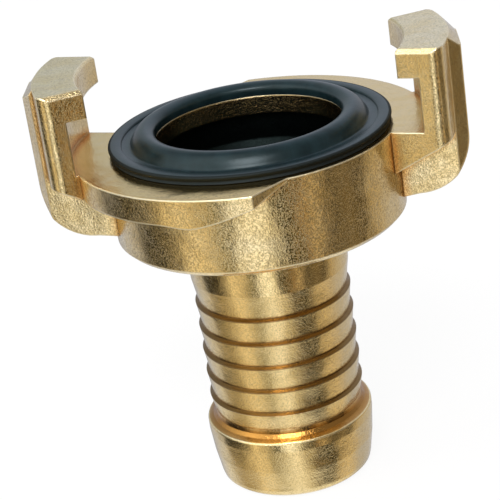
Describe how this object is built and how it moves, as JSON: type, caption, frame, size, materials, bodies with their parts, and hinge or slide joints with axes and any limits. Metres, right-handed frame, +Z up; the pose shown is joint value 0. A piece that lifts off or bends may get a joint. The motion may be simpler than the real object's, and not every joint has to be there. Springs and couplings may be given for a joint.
{
  "type": "quick connector",
  "caption": "Brass hose coupling half with two hooked claws, a ramped flange, a black sealing ring and a barbed hose tail.",
  "frame": {"origin": "centre of the hose tail's end face, which the part stands on", "axes": "+Z up the water way to the claws; the claws lie on +X and -X"},
  "size_m": [0.0472, 0.0394, 0.0505],
  "materials": {
    "body": "satin, as forged, with turned tail",
    "seal": "smooth satin moulding"
  },
  "bodies": {
    "root": {"body": "body", "seal": "seal"}
  },
  "joints": []
}
